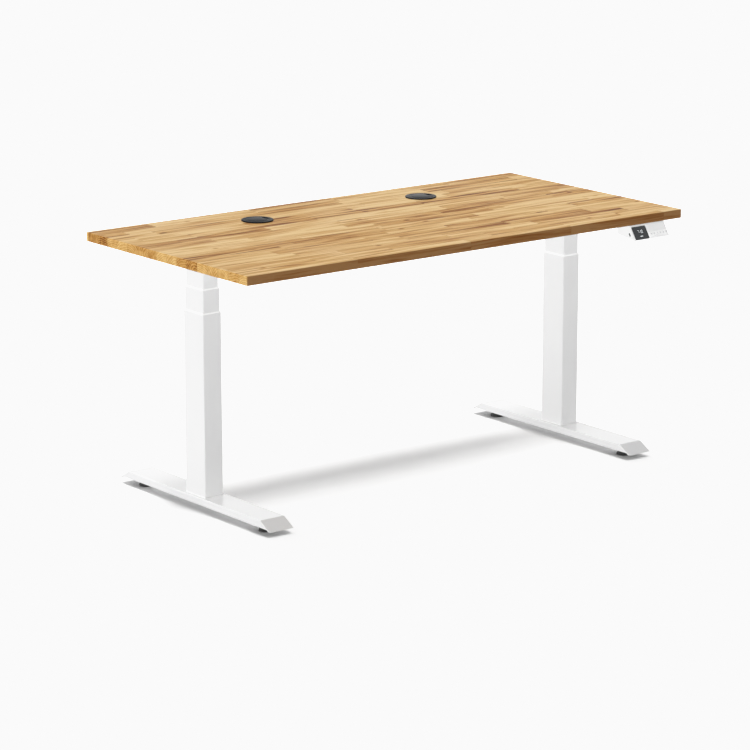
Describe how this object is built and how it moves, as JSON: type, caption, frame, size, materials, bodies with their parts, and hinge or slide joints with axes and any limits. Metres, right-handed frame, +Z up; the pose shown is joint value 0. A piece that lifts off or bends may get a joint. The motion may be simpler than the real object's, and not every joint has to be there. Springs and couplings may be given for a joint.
{
  "type": "height adjustable standing desk",
  "caption": "Electric sit-stand desk: timber top with cable grommets on telescopic rectangular columns with flat feet, and a sloped control handset under the front edge.",
  "frame": {"origin": "on the floor under the middle of the outline, seen from above", "axes": "+X along the desktop to the user's right, +Y away from the user, +Z up"},
  "size_m": [1.5, 0.767, 0.7157],
  "materials": {
    "white_steel": "smooth powder coat, semi-gloss",
    "leveler_rubber": "moulded black rubber",
    "screw_steel": "turned steel, lightly oiled",
    "guide_plastic": "moulded guide plastic",
    "motor_zinc": "zinc plated, satin",
    "black_plastic": "fine textured, satin",
    "lead_rubber": "smooth cable jacket",
    "timber": "finger-jointed hardwood staves, satin lacquer",
    "control_black": "spark-textured plastic",
    "lid_steel": "zinc plated sheet",
    "circuit_board": "solder mask",
    "socket_black": "smooth moulded plastic",
    "handset_white": "satin white plastic",
    "key_white": "soft satin keys",
    "display_glass": "smoked panel, gloss"
  },
  "bodies": {
    "base": {"left_foot": "white_steel", "left_base_plate": "screw_steel", "left_base_screw": "screw_steel", "left_outer_tube": "white_steel", "left_outer_collar": "guide_plastic", "right_foot": "white_steel", "right_base_plate": "screw_steel", "right_base_screw": "screw_steel", "right_outer_tube": "white_steel", "right_outer_collar": "guide_plastic"},
    "middle": {"left_middle_tube": "white_steel", "left_middle_collar": "guide_plastic", "left_sleeve_bearing": "screw_steel", "right_middle_tube": "white_steel", "right_middle_collar": "guide_plastic", "right_sleeve_bearing": "screw_steel"},
    "top": {"left_inner_tube": "white_steel", "left_gearbox": "white_steel", "left_motor": "motor_zinc", "left_arm": "white_steel", "left_grommet_ring": "black_plastic", "left_motor_lead": "lead_rubber", "right_inner_tube": "white_steel", "right_gearbox": "white_steel", "right_motor": "motor_zinc", "right_arm": "white_steel", "right_grommet_ring": "black_plastic", "right_motor_lead": "lead_rubber", "front_rail": "white_steel", "rear_rail": "white_steel", "desktop": "timber", "control_box_shell": "control_black", "control_box_lid": "lid_steel", "control_board": "circuit_board", "mains_inlet": "socket_black", "handset_housing": "handset_white", "handset_base": "handset_white", "handset_panel": "display_glass", "handset_display": "socket_black", "handset_board": "circuit_board", "charging_port": "socket_black", "handset_lead": "lead_rubber"},
    "left_sleeve": {"left_lift_sleeve": "screw_steel"},
    "left_drive": {"left_drive_tube": "screw_steel"},
    "left_front_leveler": {"left_front_leveler": "leveler_rubber"},
    "left_rear_leveler": {"left_rear_leveler": "leveler_rubber"},
    "left_cap": {"left_grommet_cap": "black_plastic"},
    "right_sleeve": {"right_lift_sleeve": "screw_steel"},
    "right_drive": {"right_drive_tube": "screw_steel"},
    "right_front_leveler": {"right_front_leveler": "leveler_rubber"},
    "right_rear_leveler": {"right_rear_leveler": "leveler_rubber"},
    "right_cap": {"right_grommet_cap": "black_plastic"},
    "up_key": {"handset_key_1": "key_white"},
    "down_key": {"handset_key_2": "key_white"},
    "memory_one_key": {"handset_key_3": "key_white"},
    "memory_two_key": {"handset_key_4": "key_white"},
    "memory_three_key": {"handset_key_5": "key_white"},
    "memory_store_key": {"handset_key_6": "key_white"}
  },
  "joints": [
    {"name": "lift", "type": "slide", "parent": "base", "child": "top", "axis": [0, 0, 1], "range_m": [-0.08, 0.565]},
    {"name": "middle_lift", "type": "slide", "parent": "base", "child": "middle", "axis": [0, 0, 1], "range_m": [-0.04, 0.2825]},
    {"name": "left_sleeve_turn", "type": "hinge", "parent": "middle", "child": "left_sleeve", "pos_m": [-0.63, 0.01103, 0.1096], "axis": [0, 0, 1], "range_deg": [-1441, 10171]},
    {"name": "left_drive_turn", "type": "hinge", "parent": "top", "child": "left_drive", "pos_m": [-0.63, 0.01103, 0.6589], "axis": [0, 0, 1], "range_deg": [-1441, 10171]},
    {"name": "right_sleeve_turn", "type": "hinge", "parent": "middle", "child": "right_sleeve", "pos_m": [0.63, 0.01103, 0.1096], "axis": [0, 0, 1], "range_deg": [-1441, 10171]},
    {"name": "right_drive_turn", "type": "hinge", "parent": "top", "child": "right_drive", "pos_m": [0.63, 0.01103, 0.6589], "axis": [0, 0, 1], "range_deg": [-1441, 10171]},
    {"name": "left_front_leveler_turn", "type": "hinge", "parent": "base", "child": "left_front_leveler", "pos_m": [-0.63, -0.26897, 0.01], "axis": [0, 0, 1], "continuous": true},
    {"name": "left_rear_leveler_turn", "type": "hinge", "parent": "base", "child": "left_rear_leveler", "pos_m": [-0.63, 0.29103, 0.01], "axis": [0, 0, 1], "continuous": true},
    {"name": "right_front_leveler_turn", "type": "hinge", "parent": "base", "child": "right_front_leveler", "pos_m": [0.63, -0.26897, 0.01], "axis": [0, 0, 1], "continuous": true},
    {"name": "right_rear_leveler_turn", "type": "hinge", "parent": "base", "child": "right_rear_leveler", "pos_m": [0.63, 0.29103, 0.01], "axis": [0, 0, 1], "continuous": true},
    {"name": "left_cap_turn", "type": "hinge", "parent": "top", "child": "left_cap", "pos_m": [-0.288, 0.23203, 0.714], "axis": [0, 0, 1], "continuous": true},
    {"name": "right_cap_turn", "type": "hinge", "parent": "top", "child": "right_cap", "pos_m": [0.288, 0.23203, 0.714], "axis": [0, 0, 1], "continuous": true},
    {"name": "up_press", "type": "slide", "parent": "top", "child": "up_key", "axis": [0, 0.8368, -0.5476], "range_m": [0, 0.001], "stiffness_N_per_m": 400},
    {"name": "down_press", "type": "slide", "parent": "top", "child": "down_key", "axis": [0, 0.8368, -0.5476], "range_m": [0, 0.001], "stiffness_N_per_m": 400},
    {"name": "memory_one_press", "type": "slide", "parent": "top", "child": "memory_one_key", "axis": [0, 0.8368, -0.5476], "range_m": [0, 0.001], "stiffness_N_per_m": 400},
    {"name": "memory_two_press", "type": "slide", "parent": "top", "child": "memory_two_key", "axis": [0, 0.8368, -0.5476], "range_m": [0, 0.001], "stiffness_N_per_m": 400},
    {"name": "memory_three_press", "type": "slide", "parent": "top", "child": "memory_three_key", "axis": [0, 0.8368, -0.5476], "range_m": [0, 0.001], "stiffness_N_per_m": 400},
    {"name": "memory_store_press", "type": "slide", "parent": "top", "child": "memory_store_key", "axis": [0, 0.8368, -0.5476], "range_m": [0, 0.001], "stiffness_N_per_m": 400}
  ],
  "couplings": [
    {"joint": "middle_lift", "follows": "lift", "ratio": 0.5},
    {"joint": "left_sleeve_turn", "follows": "lift", "rad_per_m": 314.16},
    {"joint": "left_drive_turn", "follows": "lift", "rad_per_m": 314.16},
    {"joint": "right_sleeve_turn", "follows": "lift", "rad_per_m": 314.16},
    {"joint": "right_drive_turn", "follows": "lift", "rad_per_m": 314.16}
  ]
}
